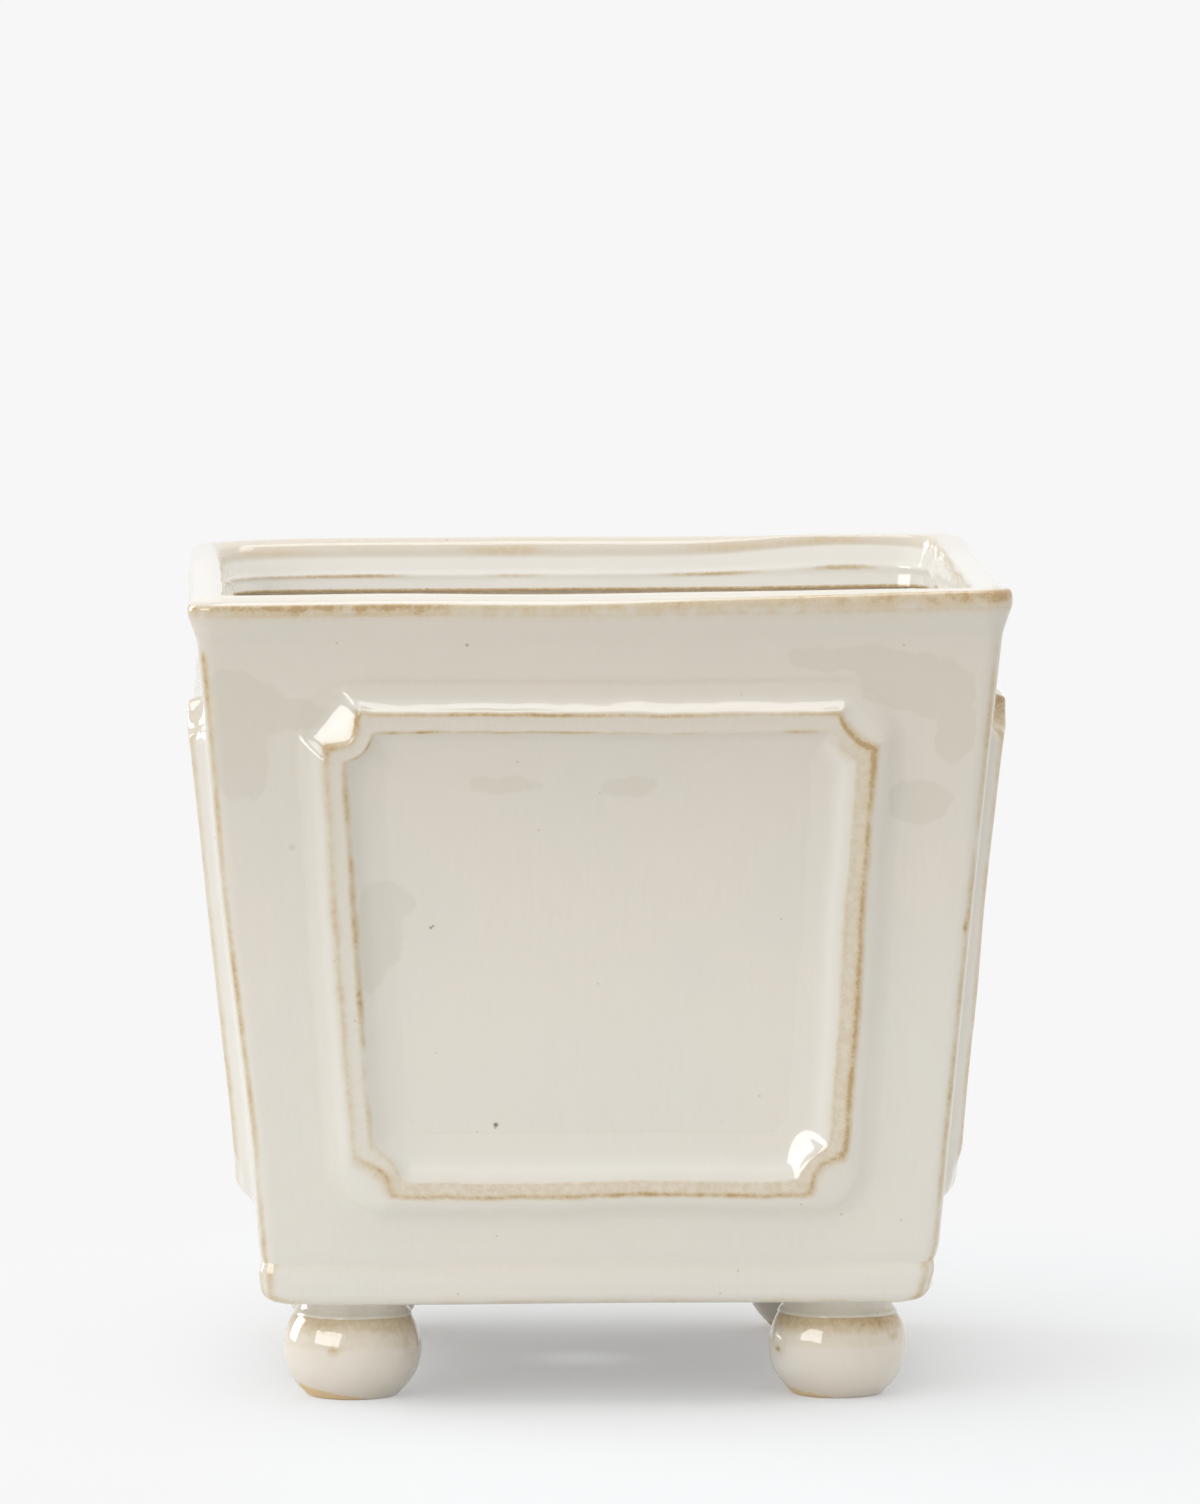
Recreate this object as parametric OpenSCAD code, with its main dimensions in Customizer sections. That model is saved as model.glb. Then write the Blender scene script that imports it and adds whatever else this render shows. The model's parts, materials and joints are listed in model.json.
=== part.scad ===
// Square stoneware planter on four ball feet, slab built and glazed.
// Millimetres, +Z up, the front faces -Y. The origin is on the table, under the middle.

/* [Overall] */
// Height from the table to the crest of the rim
planter_h = 204.8; // [190:0.1:225]
// Width across the lip, the same both ways
rim_w = 203.2; // [195:0.1:225]
// Width across the base slab, the same both ways
base_w = 168.4; // [160:0.1:182]

/* [Slabs] */
// Thickness of the base slab
base_t = 10.5; // [8:0.1:13]
// Thickness of the four wall slabs
wall_t = 6.2; // [5:0.1:8]
// Rounding of the four upright outer corners
arris_r = 4; // [2.5:0.1:6]
// Rounding of the bottom edge of the base slab
base_edge_r = 3.2; // [1.5:0.1:5]
// Diameter of the drain hole through the base slab
drain_d = 16; // [10:0.5:24]

/* [Rim] */
// Height of the rim band above the walls
rim_h = 13.3; // [11:0.1:16]
// Thickness of the rim band at the lip
rim_t = 9.4; // [8.5:0.1:11]
// How far the lip stands out from the wall below it
lip_out = 2.6; // [1.5:0.1:3.5]
// Height of the crest above the widest line of the lip
crest_h = 4.3; // [3:0.1:5]
// Height of the plain inner face below that line
rim_inner_h = 6; // [4:0.1:6]
// Rounding of the lip at the corners, in plan
lip_corner_r = 7; // [5:0.1:9]

/* [Panel frames] */
// Width of a frame across its outer ridge, at the top
frame_top_w = 135.8; // [120:0.1:145]
// Width of a frame across its outer ridge, at the bottom
frame_bottom_w = 120.6; // [110:0.1:130]
// Height of a frame over its outer ridge, measured along the wall
frame_h = 120.6; // [110:0.1:128]
// Distance from the base slab up the wall to the outer ridge
frame_up = 18.3; // [14:0.1:22]
// How far the ridges stand out from the wall
frame_proud = 5; // [4.5:0.1:6]
// Distance between the outer and the inner ridge
ridge_gap = 5.4; // [4:0.1:7]
// Width of the cove outside the outer ridge
outer_cove_w = 6.2; // [5:0.1:7.5]
// Width of the cove inside the inner ridge
inner_cove_w = 5.6; // [4.5:0.1:9]
// Radius of the scooped corners, at the outer ridge
notch_r = 7.8; // [6:0.1:9]

/* [Feet] */
// Height of a ball foot
foot_h = 21.5; // [18:0.1:25]
// Radius of a ball foot where it is widest
foot_r = 17.4; // [15:0.1:19]
// Height of that widest line above the table
foot_wide_z = 12.1; // [10:0.1:13]
// Radius of the ball's side, seen in section
foot_side_r = 15.3; // [14:0.1:17]
// Distance from the edge of the base slab in to the middle of a foot
foot_inset = 24; // [22:0.1:30]
// Height of the collar of slip between a foot and the base slab
collar_h = 4; // [2:0.1:6]
// Radius of the collar at the foot
collar_low_r = 13.4; // [11:0.1:13.5]
// Radius of the collar at the base slab
collar_top_r = 15.6; // [13.6:0.1:17]

/* [Seam coils] */
// Width of the coils pressed into the inner seams
coil_leg = 7; // [5:0.1:9]
// How far the middle of a coil is thumbed in towards the seam
coil_sag = 1.1; // [0:0.1:1.5]
// How much further than a coil the round inner corners of the rim reach
coil_cover = 2; // [1:0.1:4]

/* [Hidden] */

glaze = "#d8d3c7";
pale_glaze = "#e6e2d8";
warm_glaze = "#dcd0bd";

// Heights of the joints between the layers, from the table up
collar_z = foot_h;
base_z = collar_z + collar_h;
floor_z = base_z + base_t;
wall_top_z = planter_h - rim_h;
lip_z = planter_h - crest_h;

// The walls lean out evenly from the base slab to the rim band
wall_top_half = rim_w / 2 - lip_out;
lean = (wall_top_half - base_w / 2) / (wall_top_z - floor_z);
lean_angle = atan(lean);
wall_flat_t = wall_t / cos(lean_angle);
function wall_half(z) = base_w / 2 + lean * (z - floor_z);
function inner_half(z) = wall_half(z) - wall_flat_t;

// The rim band stands on the walls, and its inner face stands a little inside them
rim_inner_half = rim_w / 2 - rim_t;
rim_mid_half = rim_w / 2 - rim_t / 2;
// Its inner corners are round enough to cover the ends of the corner coils
rim_inner_r = coil_leg + coil_cover;

// Turns that carry a front piece to the other three sides, and a corner piece likewise
side_turn = [0, 90, 180, 270];
foot_half = base_w / 2 - foot_inset;

// Steps along a quarter turn, along the section of the rim and along a scoop
corner_steps = 6;
flare_steps = 6;
crest_steps = 12;
notch_steps = 6;
// Steps along a coil's hollow, an even number so that one of them is on the diagonal
coil_steps = 6;
crest_power = 0.78;
// The blunt edge of a floor coil, and how far a cut runs past what it cuts
coil_edge = 0.3;
past = 2;

function bow(s) = (1 - cos(180 * s)) / 2;
function power(x, p) = sign(x) * pow(abs(x), p);
function mix(a, b, s) = a + (b - a) * s;

// A square of the given half width at height z, with round corners
function square_loop(half, r, z) = [
    for (q = [0:3]) for (k = [0:corner_steps])
        let (
            a = 90 * q + 90 * k / corner_steps,
            mid = (half - r) * [sign(cos(90 * q + 45)), sign(sin(90 * q + 45))]
        )
        [mid.x + r * cos(a), mid.y + r * sin(a), z]
];

function strip(a, b, i, n) =
    let (j = (i + 1) % n) [[a + i, b + i, b + j], [a + i, b + j, a + j]];

// A solid through loops stacked from the bottom up, closed flat at both ends. The end faces
// fan out from the first point of a loop, which every other point of it can see.
module stack(loops) {
    n = len(loops[0]);
    rows = len(loops);
    last = (rows - 1) * n;
    polyhedron(
        points = [for (l = loops) each l],
        faces = [
            for (i = [1:n - 2]) [0, i, i + 1],
            for (j = [0:rows - 2]) for (i = [0:n - 1]) each strip(j * n, (j + 1) * n, i, n),
            for (i = [1:n - 2]) [last, last + i + 1, last + i]
        ]
    );
}

// A ring whose section runs through the loops and back to the first one
module ring(loops) {
    n = len(loops[0]);
    rows = len(loops);
    polyhedron(
        points = [for (l = loops) each l],
        faces = [
            for (j = [0:rows - 1]) for (i = [0:n - 1])
                each strip(j * n, ((j + 1) % rows) * n, i, n)
        ]
    );
}

// The base slab: a square tile with a rounded lower edge and the drain hole
module base_slab() {
    edge = [
        for (k = [0:corner_steps])
            let (a = 90 * k / corner_steps)
            square_loop(
                base_w / 2 - base_edge_r * (1 - sin(a)),
                arris_r,
                base_z + base_edge_r * (1 - cos(a))
            )
    ];
    color(glaze) difference() {
        stack([each edge, square_loop(base_w / 2, arris_r, floor_z)]);
        translate([0, 0, base_z - past]) cylinder(h = base_t + 2 * past, d = drain_d, $fn = 96);
    }
}

// Plan of the front wall at height z, mitred to its neighbours on the diagonals
function wall_loop(z) =
    let (outer = wall_half(z), inner = inner_half(z), mid = outer - arris_r)
    [
        [-inner, -inner, z],
        for (k = [0:corner_steps])
            let (a = 225 + 45 * k / corner_steps)
            [-mid + arris_r * cos(a), -mid + arris_r * sin(a), z],
        for (k = [0:corner_steps])
            let (a = 270 + 45 * k / corner_steps)
            [mid + arris_r * cos(a), -mid + arris_r * sin(a), z],
        [inner, -inner, z]
    ];

module wall(side) {
    color(glaze) rotate([0, 0, side_turn[side]])
        stack([wall_loop(floor_z), wall_loop(wall_top_z)]);
}

// The rim band: a flare up to the lip, the round crest, and a small step on the inside
function rim_corner_r(half) =
    mix(arris_r, lip_corner_r, (half - wall_top_half) / lip_out);

module rim_band() {
    flare = [
        for (k = [0:flare_steps])
            let (s = k / flare_steps, half = wall_top_half + lip_out * bow(s))
            square_loop(half, rim_corner_r(half), mix(wall_top_z, lip_z, s))
    ];
    crest = [
        for (k = [1:crest_steps])
            let (a = 180 * k / crest_steps, across = power(cos(a), crest_power))
            square_loop(
                rim_mid_half + rim_t / 2 * across,
                mix(rim_inner_r, lip_corner_r, (1 + across) / 2),
                lip_z + crest_h * power(sin(a), crest_power)
            )
    ];
    inside = [
        square_loop(rim_inner_half, rim_inner_r, lip_z - rim_inner_h),
        square_loop(inner_half(wall_top_z), rim_inner_r, wall_top_z)
    ];
    color(pale_glaze) ring([each flare, each crest, each inside]);
}

// A frame lies on its wall in coordinates of its own: across, up the wall, and outwards.
// Its corners are the ends of the outer ridge as if that ridge had no scoops.
frame_corners = [
    [frame_top_w / 2, frame_up + frame_h], [-frame_top_w / 2, frame_up + frame_h],
    [-frame_bottom_w / 2, frame_up], [frame_bottom_w / 2, frame_up]
];
frame_side_angle = atan((frame_top_w - frame_bottom_w) / 2 / frame_h);
// For each corner, the direction back along the edge that arrives there, and the angle inside
frame_back = [270 - frame_side_angle, 0, 90 + frame_side_angle, 180];
frame_turn = [
    90 - frame_side_angle, 90 - frame_side_angle, 90 + frame_side_angle, 90 + frame_side_angle
];

// One corner of a loop that lies d inside the outer ridge. Where soft is 0 it is a scoop
// struck from the frame's corner, where soft is 1 a plain round corner.
function frame_corner(q, d, soft) =
    let (
        back = frame_back[q],
        turn = frame_turn[q],
        across = [cos(back - turn / 2), sin(back - turn / 2)] / sin(turn / 2),
        scoop_d = max(d, -0.45 * notch_r),
        scoop_r = notch_r + scoop_d,
        scoop_mid = frame_corners[q] + (d - scoop_d) * across,
        lift = asin(scoop_d / scoop_r),
        round_r = notch_r - d / 2,
        round_mid = frame_corners[q] + (d + round_r) * across
    )
    [
        for (k = [0:notch_steps])
            let (
                s = k / notch_steps,
                scoop_a = mix(back - lift, back - turn + lift, s),
                round_a = mix(back + 90, back + 270 - turn, s)
            )
            mix(
                scoop_mid + scoop_r * [cos(scoop_a), sin(scoop_a)],
                round_mid + round_r * [cos(round_a), sin(round_a)],
                soft
            )
    ];

function frame_loop(d, out, soft) = [
    for (q = [0:3]) for (p = frame_corner(q, d, soft)) [p.x, p.y, out]
];

module panel_frame(side) {
    inner_ridge = ridge_gap;
    inner_edge = ridge_gap + inner_cove_w;
    color(pale_glaze) rotate([0, 0, side_turn[side]])
        translate([0, -wall_half(floor_z), floor_z]) rotate([90 + lean_angle, 0, 0])
        ring([
            frame_loop(-outer_cove_w, 0, 1),
            frame_loop(-outer_cove_w, 0.5, 1),
            frame_loop(-outer_cove_w * 0.5, 0.26 * frame_proud, 0.6),
            frame_loop(-outer_cove_w * 0.22, 0.6 * frame_proud, 0.2),
            frame_loop(-0.3, 0.93 * frame_proud, 0),
            frame_loop(0.6, frame_proud, 0),
            frame_loop(inner_ridge * 0.5, 0.88 * frame_proud, 0),
            frame_loop(inner_ridge - 0.6, 0.94 * frame_proud, 0),
            frame_loop(inner_ridge + 0.4, 0.8 * frame_proud, 0),
            frame_loop(inner_ridge + inner_cove_w * 0.3, 0.46 * frame_proud, 0),
            frame_loop(inner_ridge + inner_cove_w * 0.62, 0.2 * frame_proud, 0),
            frame_loop(inner_edge, 0.5, 0),
            frame_loop(inner_edge, 0, 0)
        ]);
}

// Section of a seam coil: two legs on the slabs and a hollow thumbed face between them
function coil_hollow(s) =
    coil_leg * [1 - s, s] - coil_sag * 4 * s * (1 - s) * [1, 1] / sqrt(2);

// Plan of the front left corner coil at height z
function corner_coil_loop(z) =
    let (corner = -inner_half(z))
    [
        [corner, corner, z],
        for (k = [0:coil_steps])
            let (h = coil_hollow(k / coil_steps)) [corner + h.x, corner + h.y, z]
    ];

module corner_coil(side) {
    color(glaze) rotate([0, 0, side_turn[side]])
        stack([corner_coil_loop(floor_z), corner_coil_loop(wall_top_z)]);
}

// A floor coil lies in the seam between the base slab and a wall. Each leaning slice of it,
// from the wall inwards, ends on the two corner coils, or further in on the diagonals, where
// it meets the next floor coils.
function floor_coil_slice(s) =
    let (
        h = coil_hollow(s),
        rise = max(h.x, coil_edge),
        low_end = inner_half(floor_z) - max(h.x, h.y),
        top_end = inner_half(floor_z + rise) - max(h.x, h.y),
        low_y = h.y - inner_half(floor_z),
        top_y = h.y - inner_half(floor_z + rise)
    )
    [
        [low_end, low_y, floor_z],
        [-low_end, low_y, floor_z],
        [-top_end, top_y, floor_z + rise],
        [top_end, top_y, floor_z + rise]
    ];

module floor_coil(side) {
    color(glaze) rotate([0, 0, side_turn[side]])
        stack([for (k = [0:coil_steps]) floor_coil_slice(k / coil_steps)]);
}

module at_foot(side) {
    rotate([0, 0, side_turn[side]]) translate([-foot_half, -foot_half, 0]) children();
}

module foot_collar(side) {
    color(pale_glaze) at_foot(side) translate([0, 0, collar_z])
        cylinder(h = collar_h, r1 = collar_low_r, r2 = collar_top_r, $fn = 96);
}

// A ball foot: a ball pressed flat below and cut flat under its collar
module ball_foot(side) {
    color(warm_glaze) at_foot(side) rotate_extrude($fn = 96) intersection() {
        translate([foot_r - foot_side_r, foot_wide_z]) circle(r = foot_side_r, $fn = 96);
        square([foot_r + past, foot_h]);
    }
}

base_slab();
wall(0);  // front_wall
wall(1);  // right_wall
wall(2);  // back_wall
wall(3);  // left_wall
rim_band();
panel_frame(0);  // front_panel_frame
panel_frame(1);  // right_panel_frame
panel_frame(2);  // back_panel_frame
panel_frame(3);  // left_panel_frame
corner_coil(0);  // corner_coil_front_left
corner_coil(1);  // corner_coil_front_right
corner_coil(2);  // corner_coil_back_right
corner_coil(3);  // corner_coil_back_left
floor_coil(0);  // floor_coil_front
floor_coil(1);  // floor_coil_right
floor_coil(2);  // floor_coil_back
floor_coil(3);  // floor_coil_left
foot_collar(0);  // foot_collar_front_left
foot_collar(1);  // foot_collar_front_right
foot_collar(2);  // foot_collar_back_right
foot_collar(3);  // foot_collar_back_left
ball_foot(0);  // ball_foot_front_left
ball_foot(1);  // ball_foot_front_right
ball_foot(2);  // ball_foot_back_right
ball_foot(3);  // ball_foot_back_left
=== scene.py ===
"""Looks of a square stoneware planter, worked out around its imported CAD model.

The pot is slab built: a base tile, four leaning walls, a rim band, a moulded frame on each
side, coils of clay pressed into the inner seams, and ball feet on collars of slip. Each piece
of the CAD model is replaced here by a finer surface of the same piece with the small wavers
of hand work, and all of them wear one cream glaze that breaks to tan on the edges.

Lengths are millimetres in the object's own frame (+Z up, the front faces -Y, the origin on
the table under the middle) until a mesh is made, and degrees are degrees until they are used.
"""

import json
import math

import bpy
import numpy as np
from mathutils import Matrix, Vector


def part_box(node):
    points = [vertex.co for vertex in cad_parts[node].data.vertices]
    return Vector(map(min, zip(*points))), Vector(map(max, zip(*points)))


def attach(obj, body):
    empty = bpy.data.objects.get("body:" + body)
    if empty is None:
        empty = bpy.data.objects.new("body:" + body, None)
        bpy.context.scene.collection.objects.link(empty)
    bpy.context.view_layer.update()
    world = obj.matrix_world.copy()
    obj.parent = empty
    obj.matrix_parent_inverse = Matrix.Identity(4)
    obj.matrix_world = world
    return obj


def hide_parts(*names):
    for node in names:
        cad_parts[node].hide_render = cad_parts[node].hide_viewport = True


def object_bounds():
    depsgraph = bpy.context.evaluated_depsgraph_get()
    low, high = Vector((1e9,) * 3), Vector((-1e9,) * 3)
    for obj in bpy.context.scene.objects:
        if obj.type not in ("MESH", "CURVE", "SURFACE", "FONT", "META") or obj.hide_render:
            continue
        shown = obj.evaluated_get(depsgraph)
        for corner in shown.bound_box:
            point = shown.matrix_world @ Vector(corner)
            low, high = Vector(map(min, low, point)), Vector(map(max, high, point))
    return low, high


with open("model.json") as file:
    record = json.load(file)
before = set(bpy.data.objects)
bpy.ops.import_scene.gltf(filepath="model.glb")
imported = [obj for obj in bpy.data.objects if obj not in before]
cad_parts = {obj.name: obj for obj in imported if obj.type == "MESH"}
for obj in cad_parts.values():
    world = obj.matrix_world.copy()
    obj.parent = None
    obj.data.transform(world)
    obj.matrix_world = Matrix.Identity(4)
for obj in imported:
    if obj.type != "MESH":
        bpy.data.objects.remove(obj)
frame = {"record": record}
cad_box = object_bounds()

MM = 0.001
SIDES = ("front", "right", "back", "left")
CORNERS = ("front_left", "front_right", "back_right", "back_left")


def box_mm(node):
    """Lowest and highest corner of a CAD node, in millimetres."""
    low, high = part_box(node)
    return np.array(low) / MM, np.array(high) / MM


# Sizes read from the CAD model
_, rim_high = box_mm("rim_band")
wall_low, wall_high = box_mm("front_wall")
base_low, base_high = box_mm("base_slab")
foot_low, foot_high = box_mm("ball_foot_front_left")
coil_low, _ = box_mm("corner_coil_front_left")
BASE_Z = base_low[2]
FLOOR_Z = wall_low[2]
WALL_TOP_Z = wall_high[2]
CREST_Z = rim_high[2]
RIM_HALF = rim_high[0]
BASE_HALF = base_high[0]
WALL_TOP_HALF = -wall_low[1]
WALL_INSET = WALL_TOP_HALF + coil_low[0]
LEAN = (WALL_TOP_HALF - BASE_HALF) / (WALL_TOP_Z - FLOOR_Z)
LEAN_ANGLE = math.atan(LEAN)
FOOT_H = foot_high[2]
FOOT_R = (foot_high[0] - foot_low[0]) / 2
FOOT_HALF = -(foot_high[0] + foot_low[0]) / 2
DRAIN_R = frame["record"]["mounts"][0]["dims"]["r_mm"]
OUTER_LIMIT = np.array(cad_box[1])[:2] / MM

# Sizes repeated from the CAD source
ARRIS_R = 4.0
BASE_EDGE_R = 3.2
RIM_T = 9.4
CREST_H = 4.3
RIM_INNER_H = 6.0
LIP_CORNER_R = 7.0
RIM_INNER_R = 9.0
FRAME_TOP_W = 135.8
FRAME_BOTTOM_W = 120.6
FRAME_H = 120.6
FRAME_UP = 18.3
NOTCH_R = 7.8
RIDGE_GAP = 5.4
FOOT_WIDE_Z = 12.1
FOOT_SIDE_R = 15.3
COIL_LEG = 7.0
COIL_SAG = 1.1
LIP_Z = CREST_Z - CREST_H

# Folds sharper than this many degrees stay crisp, all others shade as one soft glaze
CRISP_ANGLE = 50


def mix(a, b, s):
    """a where s is 0, b where it is 1, and on the straight line between them elsewhere."""
    return a + (b - a) * s


def step(low, high, x):
    """Rises smoothly from 0 at low to 1 at high."""
    t = np.clip((x - low) / (high - low), 0, 1)
    return t * t * (3 - 2 * t)


def bell(x, middle, width):
    """1 at the middle, and 1/e at the width from it."""
    return np.exp(-(((x - middle) / width) ** 2))


def spot(points, across, up, reach):
    """A bell curve of the distance from a place on a face, from the points' first two values."""
    return bell(np.hypot(points[..., 0] - across, points[..., 1] - up), 0, reach)


def waves(points, seed, shortest, longest, count=14):
    """Sum of sine waves through space, with wavelengths between shortest and longest and
    directions and phases drawn from the seed. It stays mostly between -1 and 1."""
    draw = np.random.default_rng(seed)
    total = np.zeros(points.shape[:-1])
    for _ in range(count):
        direction = draw.normal(size=3)
        direction /= np.linalg.norm(direction)
        length = shortest * (longest / shortest) ** draw.random()
        total += np.sin(points @ direction * (2 * np.pi / length) + 2 * np.pi * draw.random())
    return total / np.sqrt(2 * count)


def turned(points, quarters):
    """Points carried round the upright axis by quarter turns, counterclockwise from above."""
    x, y, z = points[..., 0], points[..., 1], points[..., 2]
    for _ in range(quarters):
        x, y = -y, x
    return np.stack([x, y, z], -1)


def held_inside(values, limit, room=0.7):
    """Values squeezed softly in their last bit before the limit, so that none passes it."""
    size = np.abs(values)
    over = np.maximum(size - (limit - room), 0)
    return np.sign(values) * (np.minimum(size, limit - room) + room * (1 - np.exp(-over / room)))


# How far the hand work strays, and how the pot has warped in the fire
WALL_WAVER = 0.35
HEIGHT_WAVER = 0.3
RIM_TILT = 0.87
BACK_LEFT_BULGE = 1.6
SIDE_BOW = 1.2
FRONT_BOW = 0.5
CORNER_SOFTNESS = 2.2
# Where the front left arris strays outwards and inwards: height, half height and amount
ARRIS_STRAY = ((66, 16, 0.6), (130, 36, -1.0))


def hand_waver(points):
    """The slow waver that all the pieces share, so that their joints stay closed: each
    coordinate moves by its own sum of long waves, growing from the table upwards. The walls
    bow in at their middles, by a sine of the height. The rim is higher on the right than on
    the left, and bulges at the back left. The front left arris strays by two bell curves, and
    the base's front corners are worn rounder than the others."""
    x, y, z = points[..., 0], points[..., 1], points[..., 2]
    off_table = step(0, BASE_Z, z)
    up = step(FLOOR_Z, CREST_Z, z)
    at_rim = step(WALL_TOP_Z - 20, LIP_Z, z)
    move_x = WALL_WAVER * mix(0.4, 1.0, up) * waves(points, 11, 80, 240)
    move_y = WALL_WAVER * mix(0.4, 1.0, up) * waves(points, 12, 80, 240)
    move_z = HEIGHT_WAVER * waves(points, 13, 70, 200) * mix(0.7, 1.0, up)
    move_z += at_rim * RIM_TILT * (x / RIM_HALF - 1)
    belly = np.sin(np.pi * np.clip((z - FLOOR_Z) / (LIP_Z - FLOOR_Z), 0, 1)) / RIM_HALF
    move_x -= SIDE_BOW * x * belly * np.clip(1 - (y / RIM_HALF) ** 2, 0, 1)
    move_y -= FRONT_BOW * y * belly * np.clip(1 - (x / RIM_HALF) ** 2, 0, 1)
    move_x -= BACK_LEFT_BULGE * step(-60, 90, y) * step(182, 202, z) * step(0, -90, x)
    stray = sum(amount * bell(z, middle, width) for middle, width, amount in ARRIS_STRAY)
    move_x += step(-60, -95, x) * step(-40, -95, y) * stray
    worn = step(66, 88, x) * step(-60, -82, y)
    move_x -= CORNER_SOFTNESS * worn * step(BASE_Z + 16, BASE_Z, z)
    lifted = np.maximum(step(74, 90, x), step(-75, -90, x)) * step(-60, -82, y)
    move_z += CORNER_SOFTNESS * lifted * step(FLOOR_Z + 2, BASE_Z, z)
    moved = points + off_table[..., None] * np.stack([move_x, move_y, move_z], -1)
    return np.stack([
        held_inside(moved[..., 0], OUTER_LIMIT[0]),
        held_inside(moved[..., 1], OUTER_LIMIT[1]),
        held_inside(moved[..., 2], CREST_Z, 0.4),
    ], -1)


def blurred_line(points, softness, pace):
    """A line through corner points, walked at an even pace and blurred so that its corners
    turn soft. It returns the walked points, without the parts nearest to the two ends."""
    points = np.array(points, float)
    along = np.concatenate([[0], np.cumsum(np.linalg.norm(np.diff(points, axis=0), axis=1))])
    walk = np.arange(0, along[-1], pace)
    line = np.stack([np.interp(walk, along, points[:, k]) for k in range(points.shape[1])], 1)
    reach = np.arange(-3 * softness, 3 * softness, pace)
    kernel = bell(reach, 0, softness * math.sqrt(2))
    kernel /= kernel.sum()
    return np.stack([np.convolve(line[:, k], kernel, "valid") for k in range(points.shape[1])], 1)


def grid_quads(numbers):
    """Quads between the neighbours in a grid of point numbers."""
    corners = numbers[:-1, :-1], numbers[:-1, 1:], numbers[1:, 1:], numbers[1:, :-1]
    return np.stack(corners, -1).reshape(-1, 4)


def closed_round(numbers, axis):
    """A grid of numbers with its first row or column repeated after the last."""
    return np.concatenate([numbers, np.take(numbers, [0], axis)], axis)


def hoop(loops):
    """A surface through closed loops, from the last of which it runs back to the first."""
    count, around = loops.shape[:2]
    numbers = np.arange(count * around).reshape(count, around)
    return loops.reshape(-1, 3), grid_quads(closed_round(closed_round(numbers, 0), 1))


def tube(loops):
    """A surface through closed loops of an even number of points, with a ladder of quads
    across the first loop and across the last, from each point to the one facing it."""
    count, around = loops.shape[:2]
    numbers = np.arange(count * around).reshape(count, around)
    half = around // 2

    def ladder(loop):
        return grid_quads(np.stack([loop[:half], loop[::-1][:half]], 1))

    ends = ladder(numbers[0]), ladder(numbers[-1])[:, ::-1]
    return loops.reshape(-1, 3), np.concatenate([grid_quads(closed_round(numbers, 1)), *ends])


def signed_volume(points, quads):
    """Six times the volume inside the quads, below 0 where they face inwards."""
    a, b, c, d = (points[quads[:, k]] for k in range(4))
    return np.sum(a * np.cross(b, c)) + np.sum(a * np.cross(c, d))


def put(name, data):
    """An object in the scene, made from a mesh, a lamp or a camera."""
    thing = bpy.data.objects.new(name, data)
    bpy.context.scene.collection.objects.link(thing)
    return thing


def aim(thing, way):
    """Turns a lamp or a camera so that it looks along the way."""
    thing.rotation_mode = "QUATERNION"
    thing.rotation_quaternion = way.to_track_quat("-Z", "Y")


# What the glaze reads at each point: how thinly it lies, together with painted shade; how
# thick it lies, together with painted light; where it is missing; and how deep the point lies
# in a patch of another tone
MARKS = ("thin_and_shade", "pool_and_light", "bare", "patch")
NO_PATCH = -5.0


def make_piece(node, wrap, loops, thin_and_shade, pool_and_light, bare=0.0, patch=NO_PATCH, slot="glaze"):
    """A mesh object for one CAD node, in metres, with its faces outwards: the loops, moved by
    the shared waver, and wrapped as a hoop or as a tube, in the glaze of the slot. A mark that
    is one number holds at all points."""
    points, quads = wrap(hand_waver(loops))
    if signed_volume(points, quads) < 0:
        quads = quads[:, ::-1]
    mesh = bpy.data.meshes.new("glazed_" + node)
    mesh.from_pydata((points * MM).tolist(), [], quads.tolist())
    for name, values in zip(MARKS, (thin_and_shade, pool_and_light, bare, patch)):
        layer = mesh.attributes.new(name, "FLOAT", "POINT")
        layer.data.foreach_set("value", np.ravel(values + 0 * thin_and_shade).astype(np.float32))
    mesh.materials.append(GLAZES[slot])
    mesh.shade_smooth()
    mesh.set_sharp_from_angle(angle=math.radians(CRISP_ANGLE))
    piece = put("glazed_" + node, mesh)
    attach(piece, "root")
    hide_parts(node)


# Materials


def linear(hex_colour):
    """An sRGB hex colour as the linear colour that a shader takes."""
    parts = [int(hex_colour[k:k + 2], 16) / 255 for k in (1, 3, 5)]
    return [c / 12.92 if c <= 0.04045 else ((c + 0.055) / 1.055) ** 2.4 for c in parts] + [1.0]


def add(tree, kind, inputs=(), output=0, **settings):
    """Adds a node with its settings, and with a value or a link for each of its inputs, in
    their order or by name, and gives back one of its outputs."""
    node = tree.nodes.new("ShaderNode" + kind)
    for name, value in settings.items():
        setattr(node, name, value)
    named = inputs if isinstance(inputs, dict) else dict(enumerate(inputs))
    for name, value in named.items():
        if isinstance(value, bpy.types.NodeSocket):
            tree.links.new(value, node.inputs[name])
        else:
            node.inputs[name].default_value = value
    return node.outputs[output]


# The Mix node's inputs: its factor, its two numbers and its two colours, and its colour output
FACTOR, NUMBER_A, NUMBER_B, COLOUR_A, COLOUR_B = 0, 2, 3, 6, 7
COLOUR_OUT = 2
# A Map Range node that eases in and out between its ends
EASED = {"interpolation_type": "SMOOTHSTEP"}


def new_material(name):
    """A material with its default shader, and that shader."""
    material = bpy.data.materials.new(name)
    material.use_nodes = True
    return material, material.node_tree, material.node_tree.nodes["Principled BSDF"]


def per_metre(millimetres):
    """Scale of a texture on Object coordinates whose grain is so many millimetres."""
    return 1000 / millimetres


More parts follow.
